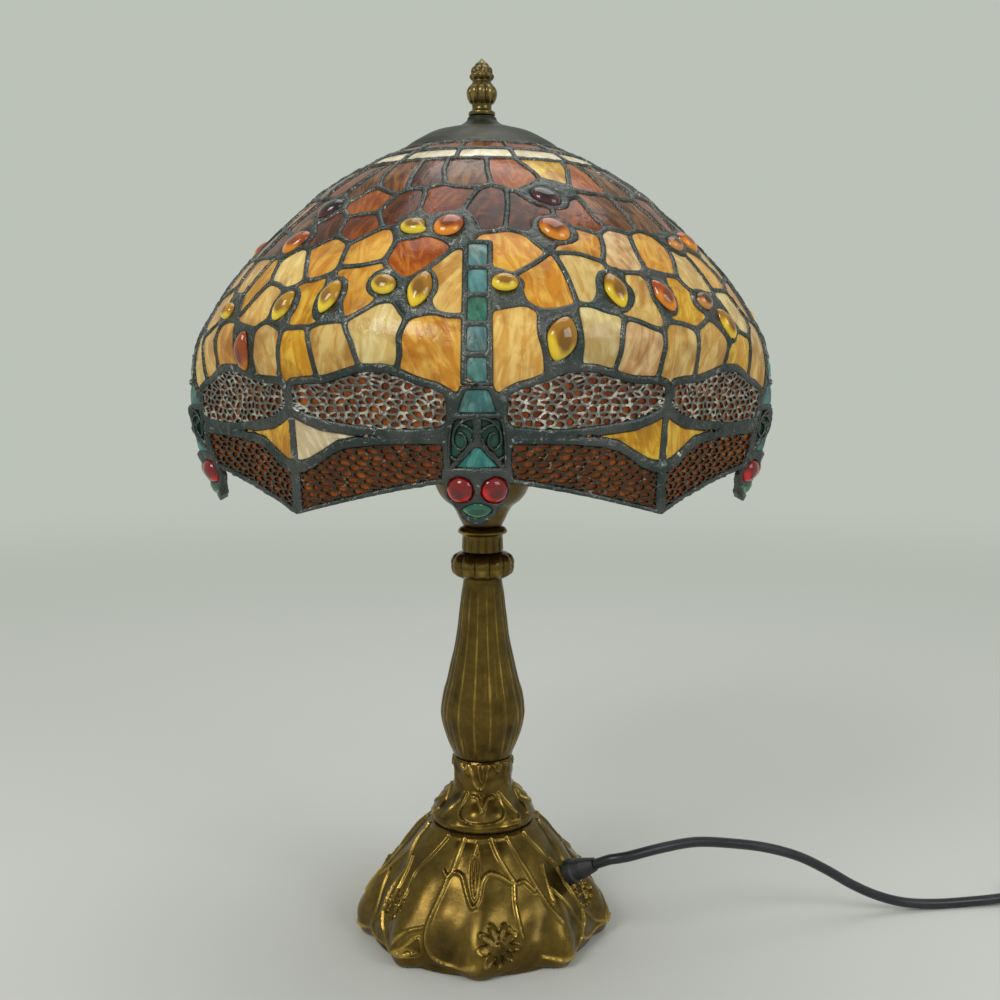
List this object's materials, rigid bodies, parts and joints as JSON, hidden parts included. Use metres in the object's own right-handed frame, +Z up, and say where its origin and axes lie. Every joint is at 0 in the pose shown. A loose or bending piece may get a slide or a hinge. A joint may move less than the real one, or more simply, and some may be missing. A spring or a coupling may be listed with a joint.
{
  "type": "table lamp",
  "caption": "Table lamp with a domed leaded glass shade edged by dragonflies, a fluted cast stem on a lobed base, and a corded switch and plug.",
  "frame": {"origin": "on the surface the lamp stands on, under the axis of the stem and shade", "axes": "+Z up along the stem, -Y towards the front dragonfly, +X towards the side the cord leaves"},
  "size_m": [0.6182, 0.3034, 0.471],
  "materials": {
    "bronze": "antique bronze patina, worn gold on raised edges",
    "brass": "satin brass",
    "finial_brass": "antique brass, dark in the hollows",
    "cap_metal": "dark grey-green patina",
    "amber_glass": "opalescent amber art glass in dark soldered lead",
    "wing_glass": "red-brown glass under metal filigree",
    "teal_glass": "blue-green art glass in dark soldered lead",
    "steel": "zinc plated",
    "felt": "dark felt",
    "washer_rubber": "soft washer",
    "black_plastic": "satin black",
    "cord_jacket": "black flexible jacket",
    "bakelite": "moulded black",
    "bulb_glass": "frosted white"
  },
  "bodies": {
    "lamp_frame": {"base_casting": "bronze", "bead_collar": "bronze", "bottom_plate": "steel", "cord_coil": "cord_jacket", "cord_gland": "black_plastic", "cord_lead": "cord_jacket", "cord_tail": "cord_jacket", "felt_pad": "felt", "ferrule_left": "brass", "ferrule_right": "brass", "harp_saddle": "brass", "harp_stud": "brass", "harp_wire": "brass", "inner_lead": "cord_jacket", "lamp_pipe": "steel", "neck_sleeve": "bronze", "pipe_nut": "steel", "pipe_washer": "steel", "plug_body": "black_plastic", "plug_pin_left": "steel", "plug_pin_right": "steel", "saddle_nut": "steel", "socket_cup": "bronze", "socket_liner": "brass", "socket_shell": "bakelite", "stem_column": "bronze", "stem_foot": "bronze", "switch_housing": "black_plastic"},
    "seat": {"seat_washer": "washer_rubber"},
    "shade": {"crown_ring": "brass", "dome_panel_1": "amber_glass", "dome_panel_2": "amber_glass", "dome_panel_3": "amber_glass", "dome_panel_4": "amber_glass", "dome_panel_5": "amber_glass", "dragonfly_1": "teal_glass", "dragonfly_2": "teal_glass", "dragonfly_3": "teal_glass", "dragonfly_4": "teal_glass", "dragonfly_5": "teal_glass", "vase_cap": "cap_metal", "wing_1_left": "wing_glass", "wing_1_right": "wing_glass", "wing_2_left": "wing_glass", "wing_2_right": "wing_glass", "wing_3_left": "wing_glass", "wing_3_right": "wing_glass", "wing_4_left": "wing_glass", "wing_4_right": "wing_glass", "wing_5_left": "wing_glass", "wing_5_right": "wing_glass"},
    "finial": {"finial": "finial_brass"},
    "bulb": {"bulb_cap": "steel", "bulb_glass": "bulb_glass"},
    "rocker": {"switch_rocker": "black_plastic"}
  },
  "joints": [
    {"name": "shade_turn", "type": "hinge", "parent": "lamp_frame", "child": "seat", "pos_m": [0, 0, 0.432], "axis": [0, 0, 1], "continuous": true},
    {"name": "shade_lift", "type": "slide", "parent": "seat", "child": "shade", "axis": [0, 0, 1], "range_m": [0, 0.21]},
    {"name": "finial_turn", "type": "hinge", "parent": "shade", "child": "finial", "pos_m": [0, 0, 0.4416], "axis": [0, 0, 1], "continuous": true},
    {"name": "bulb_turn", "type": "hinge", "parent": "lamp_frame", "child": "bulb", "pos_m": [0, 0, 0.282], "axis": [0, 0, 1], "continuous": true},
    {"name": "switch_rock", "type": "hinge", "parent": "lamp_frame", "child": "rocker", "pos_m": [0.348, 0.021, 0.0144], "axis": [0, 1, 0], "range_deg": [0, 14]}
  ]
}
